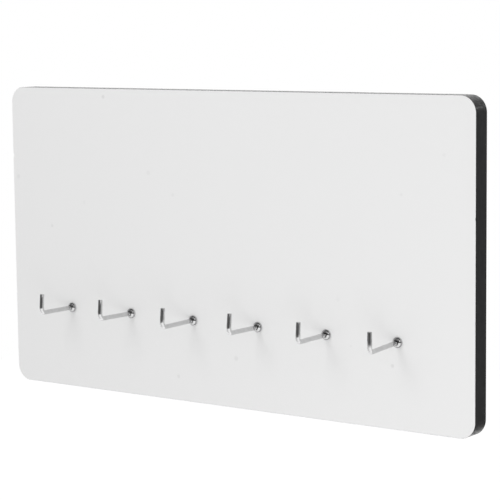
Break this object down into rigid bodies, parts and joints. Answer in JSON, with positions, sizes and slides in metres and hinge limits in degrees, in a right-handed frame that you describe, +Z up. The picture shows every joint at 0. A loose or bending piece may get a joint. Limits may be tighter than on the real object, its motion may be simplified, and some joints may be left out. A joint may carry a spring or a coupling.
{
  "type": "wall hook board",
  "caption": "Flat white-faced black board with rounded corners and a row of bent-wire screw hooks, hung on a wall.",
  "frame": {"origin": "middle of the back face, on the wall", "axes": "+X along the board to the right as seen from the front, +Y into the wall, +Z up; the hooks stand out along -Y"},
  "size_m": [0.35, 0.0437, 0.195],
  "materials": {
    "black_board": "black fibreboard, matt",
    "white_face": "white, satin",
    "bright_wire": "bright plated wire",
    "bright_collar": "bright plated sheet"
  },
  "bodies": {
    "root": {"board": "black_board", "face_sheet": "white_face", "collars": "bright_collar", "hook_1": "bright_wire", "hook_2": "bright_wire", "hook_3": "bright_wire", "hook_4": "bright_wire", "hook_5": "bright_wire", "hook_6": "bright_wire"}
  },
  "joints": []
}
